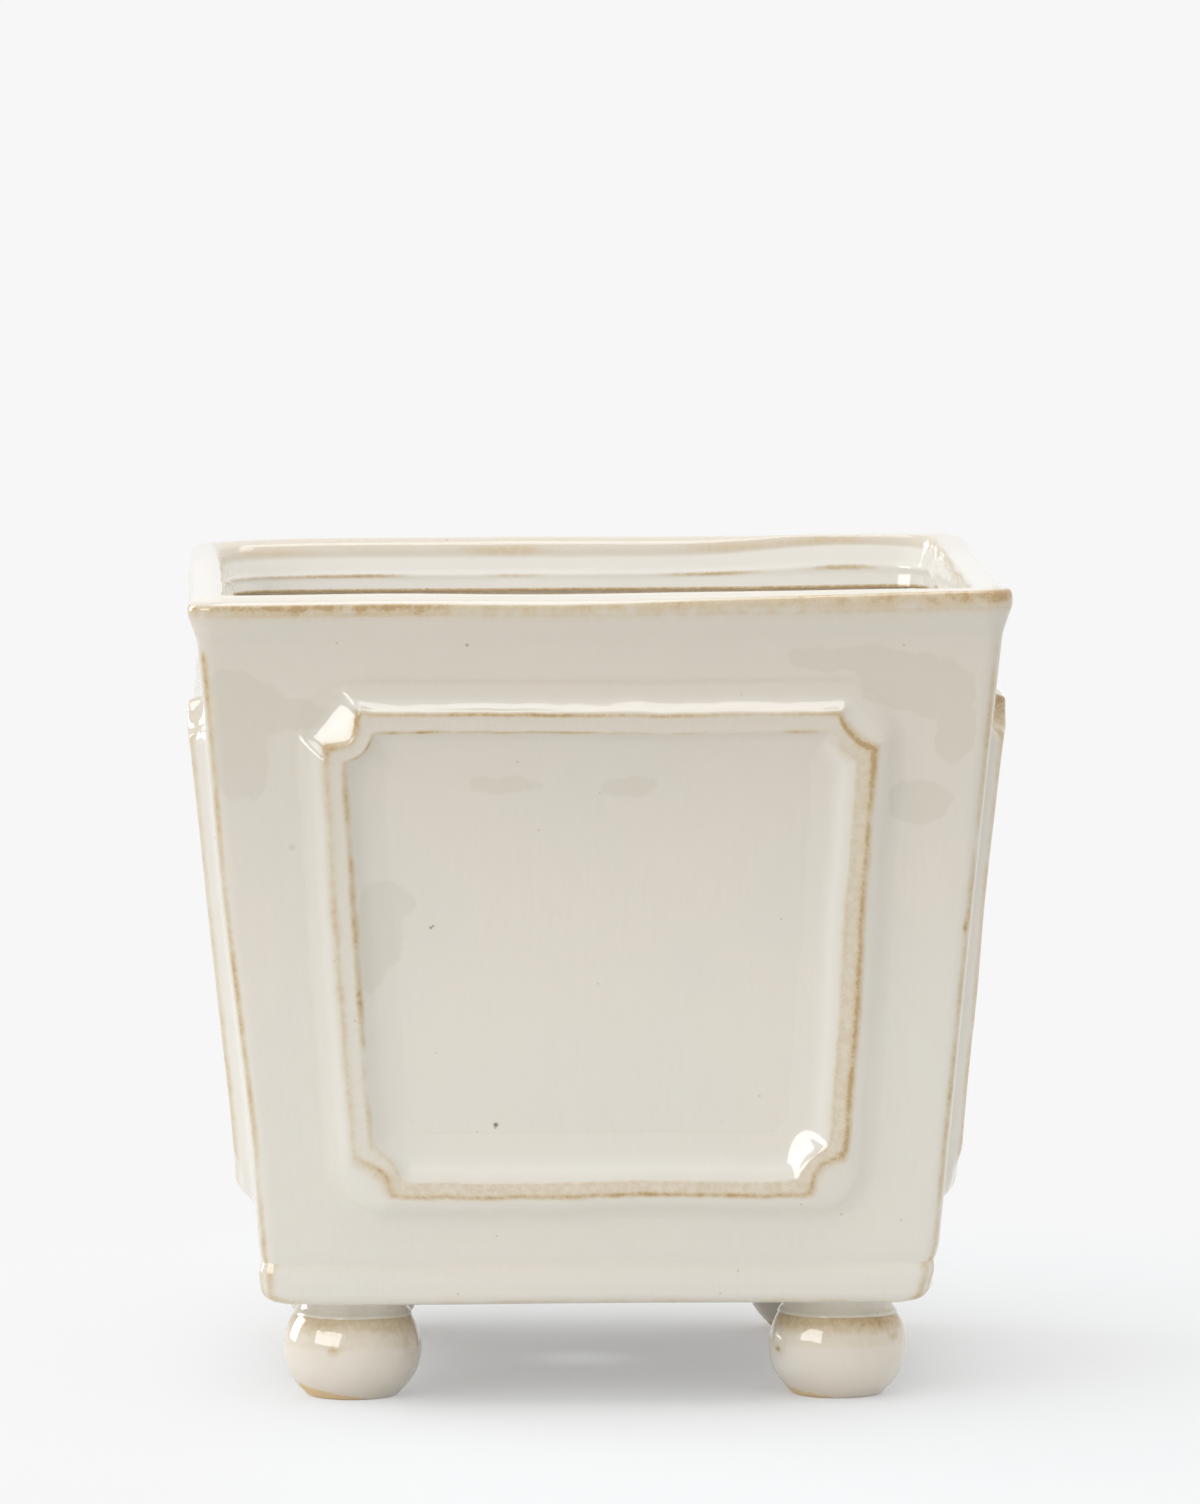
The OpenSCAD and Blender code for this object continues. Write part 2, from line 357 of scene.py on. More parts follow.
# Iron specks on the front: place, size and strength
IRON_SPECKS = (
    (-41.9, -92.2, 120.6, 0.7, 0.8), (-41.3, -92.1, 121.0, 0.5, 0.7),
    (-25.8, -87.5, 71.0, 0.9, 0.85), (-25.9, -87.5, 70.2, 0.6, 0.6),
    (5.8, -92.4, 122.0, 0.8, 0.25), (-33.0, -99.0, 191.2, 0.6, 0.45),
    (-76.1, -94.2, 140.9, 1.2, 0.12),
)


def stoneware_glaze(name, *colours):
    """Glossy cream glaze over a buff stoneware body, dipped and fired in a kiln. It is milky
    where it lies thick, turns to tan and brown where it ran thinly over an edge, drifts
    between a warm and a greenish cream, and carries faint streaks, pinholes and a few iron
    specks. Its upper part is painted duller and warmer, as painted shade. Its colours are the
    warm and the greenish cream, tan, brown, and bare clay."""
    material, tree, shader = new_material(name)
    warm, cool, tan, brown, clay = (linear(colour) for colour in colours)
    place = add(tree, "TexCoord", output="Object")
    height = add(tree, "SeparateXYZ", (place,), "Z")
    thin_and_shade, pool_and_light, bare, patch = (
        add(tree, "Attribute", output="Fac", attribute_name=mark) for mark in MARKS
    )
    # Fine upright streaks, as the glaze ran, are a noise stretched six times along Z
    stretched = add(tree, "Mapping", {"Vector": place, "Scale": (1.0, 1.0, 0.16)})
    # The noises: their coordinates, the size of their grain in mm, detail and roughness
    streaks, drift, clouds, ragged, grain, peel = (
        add(tree, "TexNoise", {
            "Vector": where, "Scale": per_metre(size), "Detail": detail, "Roughness": rough,
        })
        for where, size, detail, rough in (
            (stretched, 1.4, 2.0, 0.6), (place, 48, 3.0, 0.5), (place, 9, 3.0, 0.6),
            (place, 1.7, 3.0, 0.6), (place, 0.5, 2.0, 0.6), (place, 9, 0.0, 0.5),
        )
    )
    # A patch has a fairly sharp, cloudy shore
    shore = add(tree, "MapRange", (clouds, 0.3, 0.7, -0.9, 0.9), **EASED)
    shore = add(tree, "Math", (patch, shore), operation="ADD")
    # Thin glaze has a slightly ragged grain
    coarse = add(tree, "MapRange", (ragged, 0.25, 0.75, 0.76, 1.24), **EASED)
    fine = add(tree, "MapRange", (grain, 0.25, 0.75, -0.12, 0.12), **EASED)
    rough_edge = add(tree, "Math", (coarse, fine), operation="ADD")
    thin_and_shade = add(tree, "Math", (thin_and_shade, rough_edge), operation="MULTIPLY")
    # So has the edge of bare clay
    rough_edge = add(tree, "MapRange", (ragged, 0.3, 0.7, -0.25, 0.25), **EASED)
    bare = add(tree, "Math", (bare, rough_edge), operation="ADD")

    # Coats of colour, each laid over those before: the value that it follows, where it begins
    # and is full, how much it then covers, and its colour. The upper part is painted duller and
    # warmer, as painted shade for the dimmer light up there, and the patches are greyer. Thick
    # glaze in the hollows is milky, and glaze that lies thinner turns tan, and brown where it is
    # thinnest; on some pieces these two marks also carry painted light and painted shade. Bare
    # clay comes last.
    coats = [
        (add(tree, "MapRange", (value, begins, full, 0.0, covers), **EASED), colour)
        for value, begins, full, covers, colour in (
            (drift, 0.4, 0.62, 1.0, cool), (streaks, 0.3, 0.75, 0.05, tan),
            (height, 0.08, 0.2, 0.34, linear("#CFC2AE")),
            (shore, -0.5, 0.5, 0.2, linear("#C4BEA8")), (pool_and_light, 0.05, 1.5, 1.0, linear("#F4F1EA")),
            (thin_and_shade, 0.03, 0.75, 0.95, tan), (thin_and_shade, 0.6, 1.2, 0.9, brown),
            (bare, 0.42, 0.58, 1.0, clay),
        )
    ]
    bare = coats[-1][0]
    # Pinholes: one grain in seven of a cell pattern
    cells = add(tree, "TexVoronoi", {"Vector": place, "Scale": per_metre(5.0)}).node.outputs
    dot = add(tree, "MapRange", (cells["Distance"], 0.09, 0.045, 0.0, 1.0), **EASED)
    chance = add(tree, "SeparateColor", (cells["Color"],))
    chosen = add(tree, "Math", (chance, 0.86), operation="GREATER_THAN")
    pin = add(tree, "Math", (dot, chosen), operation="MULTIPLY")
    coats.append((add(tree, "Math", (pin, 0.4), operation="MULTIPLY"), brown))
    # Iron specks, each a spot of its own size about a place in the glaze
    for x, y, z, size, strength in IRON_SPECKS:
        middle = x * MM, y * MM, z * MM
        away = add(tree, "VectorMath", (place, middle), "Value", operation="DISTANCE")
        ends = away, size * MM, 0.35 * size * MM, 0.0, strength
        coats.append((add(tree, "MapRange", ends, **EASED), linear("#6A5A3E")))
    body = warm
    for amount, colour in coats:
        inputs = {FACTOR: amount, COLOUR_A: body, COLOUR_B: colour}
        body = add(tree, "Mix", inputs, COLOUR_OUT, data_type="RGBA")
    tree.links.new(body, shader.inputs["Base Color"])

    rough = add(tree, "MapRange", (thin_and_shade, 0.3, 1.0, 0.04, 0.14), **EASED)
    rough = add(tree, "Mix", {FACTOR: bare, NUMBER_A: rough, NUMBER_B: 0.75})
    tree.links.new(rough, shader.inputs["Roughness"])
    shader.inputs["IOR"].default_value = 1.52

    # Slight orange peel, with the pinholes pricked in
    pricked = add(tree, "Math", (pin, -0.5), operation="MULTIPLY")
    peel = add(tree, "Math", (peel, pricked), operation="ADD")
    bump = add(tree, "Bump", {"Height": peel, "Strength": 0.3, "Distance": 0.00003})
    tree.links.new(bump, shader.inputs["Normal"])
    return material


# The feet took less glaze, so the buff body warms it
GLAZES = {
    "glaze": stoneware_glaze(
        "Glazed stoneware, cream", "#EAE3D7", "#E8E3D7", "#D6C3A2", "#BC9C6C", "#D3B888"
    ),
    "foot_glaze": stoneware_glaze(
        "Glazed stoneware, warm cream", "#EEE4D5", "#EAE1D2", "#D2BD98", "#B99868", "#E8CEA4"
    ),
}


# Base slab, walls and rim band

ARC_STEPS = 14
SIDE_STEPS = 150


def square_loops(half, radius, height):
    """Plans of squares with round corners, one for each row of the three arrays: a quarter
    of each is an arc and a straight side, and the other quarters are turned copies."""
    half, radius, height = (
        np.asarray(v, float)[:, None] for v in np.broadcast_arrays(half, radius, height)
    )
    turn = np.radians(np.linspace(0, 90, ARC_STEPS + 1))
    along = np.linspace(1, -1, SIDE_STEPS + 1)[1:-1]
    middle = half - radius
    x = np.concatenate([middle + radius * np.cos(turn), middle * along], 1)
    y = np.concatenate([middle + radius * np.sin(turn), half + 0 * along], 1)
    quarter = np.stack([x, y, height + 0 * x], -1)
    return np.concatenate([turned(quarter, q) for q in range(4)], 1)


def off_diagonal(points):
    """Distance along the plan from the nearest of its diagonals, where the corners are."""
    return np.abs(np.abs(points[..., 0]) - np.abs(points[..., 1]))


def seam_dip(z):
    """How far the luted seam between base slab and walls lies back under its glaze."""
    return 0.42 * bell(z, FLOOR_Z, 1.7)


# How far the slab's sides swell, and how softly the rim of its drain hole is rounded
SLAB_SWELL = 0.35
DRAIN_ROUND = 0.9


def make_base_slab():
    """The section runs from the drain hole over the underside, round the lower edge, up the
    side and back over the floor, and is carried round the square plan."""
    quarter = np.radians(np.linspace(0, 90, 10))
    under = np.linspace(0.12, 0.96, 14)
    side_z = np.linspace(BASE_Z + BASE_EDGE_R, FLOOR_Z, 20)[1:]
    edge_half = BASE_HALF - BASE_EDGE_R * (1 - np.sin(quarter))
    edge_z = BASE_Z + BASE_EDGE_R * (1 - np.cos(quarter))
    swell = SLAB_SWELL * np.sin(np.pi * (side_z - side_z[0]) / (FLOOR_Z - side_z[0]))
    side_half = BASE_HALF + swell - seam_dip(side_z)
    half = np.concatenate([BASE_HALF * under, edge_half, side_half, BASE_HALF * under[::-1]])
    z = np.concatenate([BASE_Z + 0 * under, edge_z, side_z, FLOOR_Z + 0 * under])
    radius = np.clip(ARRIS_R + half - BASE_HALF, 1.0, None)
    square = square_loops(half, radius, z)
    # Towards the drain hole the loops turn from squares to circles
    directions = square_loops([1.0], [ARRIS_R / BASE_HALF], [0.0])[0, :, :2]
    directions = directions / np.linalg.norm(directions, axis=1, keepdims=True)

    def circle(radius, height):
        return np.concatenate([directions * radius, np.full((len(directions), 1), height)], 1)

    squareness = step(0.1, 0.5, half / BASE_HALF)[:, None, None]
    body = mix(np.stack([circle(h, v) for h, v in zip(half, z)]), square, squareness)
    into = np.array([1, 0.3, 0]) * DRAIN_ROUND
    hole_r = DRAIN_R + np.concatenate([into, [0], into[::-1]])
    hole_z = np.concatenate([FLOOR_Z - into[::-1], [(BASE_Z + FLOOR_Z) / 2], BASE_Z + into])
    loops = np.concatenate([body, np.stack([circle(r, v) for r, v in zip(hole_r, hole_z)])])
    z = loops[..., 2]
    outside = step(BASE_HALF - 4, BASE_HALF - 0.8, np.abs(loops[..., :2]).max(-1))
    arris = bell(off_diagonal(loops), 2.2, 2.0) * outside
    low_edge = bell(z, BASE_Z + 0.6, 1.0) * outside
    patchy = waves(loops, 21, 12, 50)
    thin_and_shade = arris * (0.5 + 0.3 * waves(loops, 22, 8, 30)) + low_edge * (0.3 + 0.25 * patchy)
    thin_and_shade += 0.1 * (1 - outside) * step(FLOOR_Z - 2, FLOOR_Z, z)
    pool_and_light = 0.35 * outside * bell(z, FLOOR_Z - 5, 4)
    make_piece("base_slab", hoop, loops, thin_and_shade, pool_and_light)


WALL_ARC_STEPS = 8
WALL_SIDE_STEPS = 140
WALL_ROWS = 120


def frame_place(points, side):
    """Points of a frame, across, up the wall and outwards, put on their wall."""
    u, v, w = points[..., 0], points[..., 1], points[..., 2]
    sin, cos = math.sin(LEAN_ANGLE), math.cos(LEAN_ANGLE)
    front = np.stack([u, -BASE_HALF - v * sin - w * cos, FLOOR_Z + v * cos - w * sin], -1)
    return turned(front, side)


# A chip in the glaze of the front right arris: height, and half height
CHIP_Z = 120.5
CHIP_HALF = 2.5
# How strongly the glaze breaks along the arrises
ARRIS_BREAK = 0.58


def make_wall(side):
    """A leaning slab, mitred on the diagonals: at each station across the front, a loop runs
    up the outer face and down the inner one. The stations cover half of each round arris."""
    arc = np.linspace(45, 0, WALL_ARC_STEPS, endpoint=False)
    even = np.linspace(-1, 1, WALL_SIDE_STEPS)
    across = mix(even, np.sin(even * np.pi / 2), 0.6)
    place = np.concatenate([-np.ones(WALL_ARC_STEPS), across, np.ones(WALL_ARC_STEPS)])[:, None]
    angle = np.radians(np.concatenate([270 - arc, 270 + 0 * across, 270 + arc[::-1]]))[:, None]
    z = np.concatenate([
        FLOOR_Z + np.array([0, 0.25]), np.linspace(FLOOR_Z + 0.8, WALL_TOP_Z, WALL_ROWS - 2),
    ])[None, :]
    half = BASE_HALF + LEAN * (z - FLOOR_Z)
    middle = half - ARRIS_R
    radius = ARRIS_R - seam_dip(z)
    x = place * middle + radius * np.cos(angle)
    y = -middle + radius * np.sin(angle)
    inner_half = half - WALL_INSET
    inner_x = x / np.abs(x[-1:]) * inner_half
    outer = np.stack(np.broadcast_arrays(x, y, z), -1)
    inner = np.stack(np.broadcast_arrays(inner_x, -inner_half, z), -1)
    flat = np.concatenate([outer, inner[:, ::-1]], 1)
    loops = turned(flat, side)
    on_outer = np.repeat([[1.0, 0.0]], WALL_ROWS, 1)
    # Distance round the arris from where the flat face ends
    turn = np.abs(angle - np.radians(270))
    past_flat = ARRIS_R * turn - (1 - np.abs(place)) * BASE_HALF
    lengthwise = 1 + 0.45 * waves(loops, 31, 14, 70) + 0.3 * waves(loops, 32, 5, 14)
    arris = bell(past_flat, ARRIS_R * np.pi / 4, 1.15) * on_outer * ARRIS_BREAK
    height = loops[..., 2]
    thin_and_shade = arris * np.clip(lengthwise, 0.25, 1.6) * step(WALL_TOP_Z + 0.5, WALL_TOP_Z - 2, height)
    if side == 0:
        chip = bell(flat[..., 2], CHIP_Z, CHIP_HALF) ** 4 * bell(past_flat, 2.4, 1.0) ** 2
        thin_and_shade += chip * (flat[..., 0] > 0) * on_outer
    # Painted light: the inside face is painted milky white all over, so the shaded inside reads
    # bright
    pool_and_light = on_outer * 0.25 * bell(height, FLOOR_Z + 2, 5) + (1 - on_outer)
    # Inside, tan and brown are painted just under the rim, as painted shade
    thin_and_shade += 0.5 * (1 - on_outer) * step(WALL_TOP_Z - 7, WALL_TOP_Z - 1, height)
    patch = np.where((side == 0) & (on_outer > 0), front_patches(loops), NO_PATCH)
    make_piece(SIDES[side] + "_wall", tube, loops, thin_and_shade, pool_and_light, patch=patch)


# Patches of another tone that show on the front: middle across and up, half width and half
# height, and tilt in degrees
FRONT_PATCHES = (
    (-24.3, 156.2, 8.6, 2.0, 0),
    (7.2, 156.0, 5.8, 2.0, 0),
    (-86, 178, 12, 6, -30),
    (-76, 174, 9, 4, -8),
    (-89, 166, 7, 13, 8),
    (66, 187.5, 20, 3.5, -3),
    (78, 181, 16, 7, -12),
    (88, 170, 5, 9, -4),
    (79, 152, 8, 6, 10),
    (-53, 127, 7, 4.5, 0),
    (-55, 119, 6, 8, 25),
    (-57, 112, 3.5, 7, 0),
)


def front_patches(points):
    """How deep a point lies inside a patch, in mm, and below 0 outside of them all. A patch is
    an ellipse, turned by its tilt."""
    x, z = points[..., 0], points[..., 2]
    deepest = np.full(x.shape, NO_PATCH)
    for middle_x, middle_z, half_x, half_z, tilt in FRONT_PATCHES:
        sin, cos = math.sin(math.radians(tilt)), math.cos(math.radians(tilt))
        across = (x - middle_x) * cos + (z - middle_z) * sin
        up = (z - middle_z) * cos - (x - middle_x) * sin
        reach = np.sqrt((across / half_x) ** 2 + (up / half_z) ** 2)
        deepest = np.maximum(deepest, (1 - reach) * min(half_x, half_z))
    return deepest


# Section of the rim: half width of its plan and height. It goes on from the wall below, flares
# in a hollow to the upright lip face, slopes up from the lip's edge to the crest, and comes
# down inside over a small ledge.
RIM_SECTION = (
    (98.3, 184.5), (99.0, 191.5), (99.2, 193.4), (99.9, 195.4), (100.7, 197.8),
    (101.3, 199.3), (101.6, 200.3), (101.6, 202.3), (100.8, 203.2), (97.8, 204.95),
    (95.4, 204.95), (93.3, 203.8), (92.2, 201.8), (91.6, 199.4), (91.1, 197.4), (90.8, 196.2),
    (90.2, 195.5), (90.5, 194.7), (90.2, 193.0), (90.0, 191.6), (90.0, 188.0),
)
RIM_SOFTNESS = 0.55
RIM_PACE = 0.3
# How far a finger has pushed the ledge up, and how much higher the lip's face stands at most
LEDGE_PUSH = 2.0
LIP_RISE = 1.1


def make_rim_band():
    """The rim's section carried round the square plan, with the rim's own small lumps, which
    fade out where it stands on the walls."""
    line = blurred_line(RIM_SECTION, RIM_SOFTNESS, RIM_PACE)
    crest_row = np.argmax(line[:, 1])
    outer_line = line[:crest_row][line[:crest_row, 1] > WALL_TOP_Z]
    inner_line = line[crest_row:][line[crest_row:, 1] > WALL_TOP_Z - 0.2]
    start = [[WALL_TOP_HALF, WALL_TOP_Z]]
    half, z = np.concatenate([start, outer_line, inner_line]).T
    outer = np.clip((half - RIM_HALF + RIM_T) / RIM_T, 0, 1)
    outer_r = mix(ARRIS_R, LIP_CORNER_R, step(WALL_TOP_Z, LIP_Z, z))
    radius = mix(RIM_INNER_R, outer_r, step(93.5, 98, half))
    loops = square_loops(half, radius, z)
    outer = outer[:, None]
    x, y, rise = (loops[..., k].copy() for k in range(3))
    own = step(WALL_TOP_Z, WALL_TOP_Z + 6, rise)
    inside = step(0.35, 0.1, outer)
    lump_in = 0.3 * waves(loops, 41, 30, 80) * inside
    # The push at the back right, and the lip face's rise towards the right of the front
    on_front = step(-70, -95, y)
    rising = LIP_RISE * on_front * step(-20, 85, x)
    lump_z = 0.25 * waves(loops, 43, 45, 120)
    lump_z += LEDGE_PUSH * inside * bell(x, 68, 24) * step(60, 85, y)
    lump_z += rising * step(0.7, 0.85, outer) * bell(rise, LIP_Z + 2.4, 1.1)
    loops[..., 2] += own * lump_z
    loops[..., :2] *= 1 + (own * lump_in / RIM_HALF)[..., None]

    run = waves(loops, 45, 25, 120)
    fine_run = waves(loops, 46, 3, 8)
    x, y = loops[..., 0], loops[..., 1]
    on_front = step(-70, -95, y)
    # The glaze breaks on the lip's face, most in its left part and towards its upper edge
    worn_up = LIP_Z + 1.7 + LIP_RISE * on_front * step(-20, 85, x)
    lip_face = step(worn_up + 0.9, worn_up, rise) * step(LIP_Z - 1.6, LIP_Z - 0.2, rise)
    worn = 0.54 + 0.36 * step(-96, -86, x) * step(-35, -40, x) + 0.08 * step(40, 75, x)
    worn = mix(0.6 + 0.25 * run, worn, on_front) * (1 + 0.25 * fine_run)
    worn = np.clip(worn * mix(0.7, 1.2, step(LIP_Z, LIP_Z + 1.6, rise)), 0.2, 1.3)
    thin_and_shade = lip_face * step(0.5, 0.7, outer) * worn
    at_right = on_front * bell(x, 98.5, 4) * step(0.4, 0.6, outer)
    thin_and_shade += 0.6 * at_right * step(LIP_Z, LIP_Z + 2, rise)
    # Less tan in the hollow below it, painted there as painted shade since the hollow faces down,
    # and a line of tan at the hollow's foot
    on_face = step(0.85, 0.97, outer)
    hollow = step(WALL_TOP_Z + 0.5, WALL_TOP_Z + 3.5, rise) * step(LIP_Z + 0.5, LIP_Z - 2, rise)
    foot_line = bell(rise, WALL_TOP_Z + 3.2, 0.8) * (1 + fine_run)
    thin_and_shade += (0.22 * hollow + 0.12 * foot_line) * on_face
    # Inside: a line below the crest, a broken one along the ledge, and below that tan, which is
    # painted shade under the ledge
    back = step(0, 80, y)
    thin_and_shade += 0.14 * back * step(LIP_Z, CREST_Z, rise)
    inner_edge = step(0.4, 0.15, outer) * bell(rise, LIP_Z + 1.2, 1.4)
    thin_and_shade += inner_edge * np.clip(0.2 + 0.4 * waves(loops, 47, 20, 90), 0.04, 0.5)
    ledge = inside * bell(rise, LIP_Z - RIM_INNER_H + 0.8, 0.5)
    thin_and_shade += ledge * np.clip(0.5 + 0.8 * waves(loops, 48, 20, 80), 0, 1.1)
    thin_and_shade += 1.1 * inside * step(LIP_Z - RIM_INNER_H - 2.2, WALL_TOP_Z, rise)
    # Flecks at the corners
    corner = step(9, 0, off_diagonal(loops)) * step(LIP_Z + 3, LIP_Z + 1, rise) * on_face
    thin_and_shade += 0.3 * corner * np.clip(waves(loops, 49, 2.5, 9), -0.3, 1)
    # The front crest is painted milky, partly as painted highlight on its lit top; the inside
    # below the lip is painted whiter still, most towards the right, as painted light and painted
    # highlight
    pool_and_light = 0.8 * step(LIP_Z + 2.2, CREST_Z - 0.9, rise) * (1 - 0.8 * back)
    painted_light_in_cove = (1.5 + step(20, 60, x)) * inside * step(LIP_Z + 1.0, LIP_Z - 1.5, rise)
    make_piece("rim_band", hoop, loops, thin_and_shade, np.maximum(pool_and_light, painted_light_in_cove))


# Panel frames

# Two sections of a frame: distance in from the outer ridge, and height out from the wall. From
# a groove tooled in the wall, a cove climbs to the outer ridge, a shallow flat crosses to the
# inner ridge, and the inner cove falls to the sunk field. One is as tooled; in the other the
# glaze and the fingers have rounded everything off.
CRISP_SECTION = (
    (-17, -0.4), (-15, -0.14), (-13.8, -0.03), (-12.2, 0.05), (-9.6, 0.22), (-8.7, 0.2),
    (-8.0, 0.06), (-7.2, 0.22), (-5.6, 0.75), (-4.2, 1.35), (-2.9, 2.15), (-1.7, 3.2), (-0.8, 4.4),
    (-0.1, 5.1), (0.8, 5.0), (1.8, 4.65), (3.6, 4.6), (4.7, 4.8), (5.4, 4.6), (5.9, 4.0),
    (6.7, 2.95), (7.7, 1.9), (8.9, 1.1), (10.3, 0.5), (11.7, 0.17), (12.8, 0.03), (13.8, -0.03),
    (14.8, -0.12), (17, -0.4),
)
SOFT_SECTION = (
    (-17, -0.4), (-15, -0.14), (-13.8, -0.03), (-12.0, 0.03), (-10, 0.12), (-8.4, 0.28),
    (-7.0, 0.6), (-5.6, 1.25), (-4.4, 2.2), (-3.2, 3.3), (-2.0, 4.15), (-1.0, 4.6),
    (0.0, 4.85), (1.2, 4.85), (3.0, 4.65), (4.6, 4.5), (5.6, 4.1), (6.6, 3.2), (7.8, 2.1),
    (9.0, 1.3), (10.4, 0.65), (11.8, 0.25), (12.9, 0.05), (13.8, -0.03), (14.8, -0.12), (17, -0.4),
)
FRAME_SOFTNESS = 0.2
FRAME_PACE = 0.05
FRAME_SINK = 0.7
SCOOP_STEPS = 26
BAR_STEPS = 150
FRAME_TURN_OFF = math.degrees(math.atan((FRAME_TOP_W - FRAME_BOTTOM_W) / 2 / FRAME_H))
FRAME_CORNERS = np.array([
    (FRAME_TOP_W / 2, FRAME_UP + FRAME_H), (-FRAME_TOP_W / 2, FRAME_UP + FRAME_H),
    (-FRAME_BOTTOM_W / 2, FRAME_UP), (FRAME_BOTTOM_W / 2, FRAME_UP),
])
# From each corner, the direction back along the bar before it, and the angle between its bars
FRAME_BACK = (270 - FRAME_TURN_OFF, 0, 90 + FRAME_TURN_OFF, 180)
FRAME_TURN = 90 + np.array([-1, -1, 1, 1]) * FRAME_TURN_OFF

# What differs between the left, top, right and bottom bar, seen from outside: how rounded
# they are, how far their outer ridge strays inwards, the gap between their ridges, and how
# strongly the glaze breaks on the outer ridge, on the flat and on the inner ridge, with the
# half widths of the two broken lines. On the two ridges that strength is partly painted
# shade: it is higher where the ridge's edge faces away from the light at the left
BAR_ROUNDED = (0.8, 0.0, 0.45, 1.0)
BAR_STRAY = (-1.0, -0.3, -0.1, -0.5)
BAR_GAP = (4.7, 4.3, 4.6, 3.6)
OUTER_BREAK_AND_SHADE = (0.35, 0.75, 0.68, 0.6)
OUTER_WIDTH = (1.3, 0.6, 1.1, 0.9)
FLAT_BREAK = (0.16, 0.17, 0.43, 0.45)
INNER_BREAK_AND_SHADE = (0.52, 0.5, 0.16, 0.05)
INNER_WIDTH = (0.9, 0.45, 0.8, 0.8)
# How much tan is painted in the tooled groove, as painted shade, and how much glaze lies in the
# two coves
GROOVE_SHADE = (0.8, 1.0, 0.15, 0.0)
OUTER_POOL = (0.5, 0.6, 0.2, 0.2)
INNER_POOL = (0.1, 0.3, 0.7, 0.8)
# How far it has run together in the cove inside each bar, and how much wider that makes it
BAR_FILLED = (0.0, 0.0, 0.5, 1.0)
FILLED_COVE = 1.3

# A thumb has pressed a flat against the front frame's top left corner: middle, height there,
# length, and how fast the flat falls to the left and upwards
THUMB_AT = (-62.0, 133.0)
THUMB_HEIGHT = 4.0
THUMB_LENGTH = 4.0
THUMB_FALL = (0.425, 0.35)
# Glaze has filled the inner corner at its lower right in a flat that rises to the right and
# downwards as fast: middle and reach
FILLED_AT = (50.5, 30.0)
FILLED_REACH = 3.2
LEAST_HEIGHT = 0.15
# Corners where the glaze has broken more, on the front and back frames: middle across and up,
# reach, and strength
BROKEN_CORNERS = (
    (-61.2, 137.6, 2.6, 0.7), (-67.6, 131.2, 3.0, 0.6), (61.0, 136.5, 4.0, 0.5),
    (66.0, 130.5, 5.0, 0.5), (-55.5, 23.0, 3.0, 0.3),
)
# Dashes where it has broken on the front frame's inner ridge: middle across and up, half
# length across, and strength
BROKEN_DASHES = (
    (-51.2, 133.4, 2.4, 0.75), (-43.3, 133.5, 2.4, 0.65), (-56.6, 129.6, 1.5, 1.0),
    (-59.4, 126.6, 1.8, 0.7), (49.0, 134.4, 4.6, 0.75), (57.8, 129.0, 2.4, 0.6),
)
# How much more the glaze has broken on each side's frame
SIDE_BREAK = (1.0, 1.4, 1.0, 0.7)
# What differs in the frames of the right and left side: how much less lumpy they are, and by
# how much the outer cove of the top bar is narrower; and how far the left one's top bar sags
SIDE_SMOOTH = 0.3
COVE_LOST = 0.9
SAG = 0.3
SIDE_APART = 97.0
# The level from which a bar counts as the top one
TOP_BAR = FRAME_UP + FRAME_H - 9

# Where fingers have shifted the soft frames, for each side: middle, across and up the wall,
# the shift across, up and outwards, and the reach
FRONT_PUSHES = (
    (-61.6, 132.6, 1.2, -1.7, 0.0, 4.5), (-60.2, 138.6, 0.3, 0.9, 0.6, 2.6),
    (-67.6, 131.0, 0.4, -0.3, 0.5, 2.6), (60.2, 138.8, -1.2, 0.4, 0.2, 4.0),
    (-54.6, 23.6, 1.3, 0.4, 0.0, 4.0), (-60.2, 26.0, 0.3, 1.0, 0.0, 4.0),
    (54.4, 23.8, -0.9, 1.2, 0.0, 4.5), (60.2, 26.0, -0.6, 1.0, 0.0, 4.0),
)
RIGHT_PUSHES = ((61.0, 133.0, 0.6, 0.9, 0.3, 5), (-61.6, 133.2, 0.5, -0.9, 0.8, 5),
                (-54.4, 23.8, 0.9, 0.9, 0, 5))
BACK_PUSHES = ((61.5, 133.0, -0.9, -0.8, 0, 5), (-62.0, 133.0, 0.7, -0.3, 0.3, 4),
               (54.0, 23.2, -1.0, 0.2, 0, 5))
LEFT_PUSHES = ((-61.4, 133.4, -0.7, 0.8, 0.2, 5), (61.6, 133.2, -0.4, -0.9, 0.8, 5),
               (54.8, 23.6, 0.6, 1.0, 0, 5))
PUSHES = (FRONT_PUSHES, RIGHT_PUSHES, BACK_PUSHES, LEFT_PUSHES)

# The furthest out that a scoop's arc grows, in its radii, and the least round corner
SCOOP_FAR = 0.45
LEAST_R = 2.5


